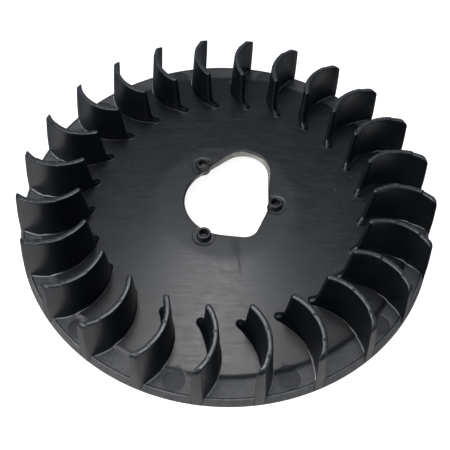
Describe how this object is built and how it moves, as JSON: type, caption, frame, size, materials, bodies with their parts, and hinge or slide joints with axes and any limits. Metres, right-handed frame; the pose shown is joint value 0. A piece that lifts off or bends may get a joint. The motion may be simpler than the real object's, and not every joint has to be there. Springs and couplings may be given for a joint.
{
  "type": "flywheel cooling fan",
  "caption": "Moulded plastic cooling fan for a small engine's flywheel: a shallow dished disc with a shaped hub opening and a ring of curved upright blades round its front edge.",
  "frame": {"origin": "on the rotation axis, in the plane of the rim's bottom edge", "axes": "+Z along the rotation axis, from the back face towards the bladed front; +X and +Y in the plane of the disc"},
  "size_m": [0.236, 0.236, 0.0324],
  "materials": {
    "disc_plastic": "black satin moulded plastic with faint flow marks and fine scuffs",
    "blade_plastic": "black satin moulded plastic, slightly glossier than the disc",
    "boss_plastic": "black satin moulded plastic"
  },
  "bodies": {
    "root": {"hub_plate": "disc_plastic", "fan_web": "disc_plastic", "outer_rim": "disc_plastic", "blade_01": "blade_plastic", "blade_02": "blade_plastic", "blade_03": "blade_plastic", "blade_04": "blade_plastic", "blade_05": "blade_plastic", "blade_06": "blade_plastic", "blade_07": "blade_plastic", "blade_08": "blade_plastic", "blade_09": "blade_plastic", "blade_10": "blade_plastic", "blade_11": "blade_plastic", "blade_12": "blade_plastic", "blade_13": "blade_plastic", "blade_14": "blade_plastic", "blade_15": "blade_plastic", "blade_16": "blade_plastic", "blade_17": "blade_plastic", "blade_18": "blade_plastic", "blade_19": "blade_plastic", "blade_20": "blade_plastic", "blade_21": "blade_plastic", "blade_22": "blade_plastic", "blade_23": "blade_plastic", "blade_24": "blade_plastic", "locating_boss_1": "boss_plastic", "locating_boss_2": "boss_plastic", "locating_boss_3": "boss_plastic", "drive_lug_1": "boss_plastic", "drive_lug_2": "boss_plastic", "drive_lug_3": "boss_plastic"}
  },
  "joints": []
}
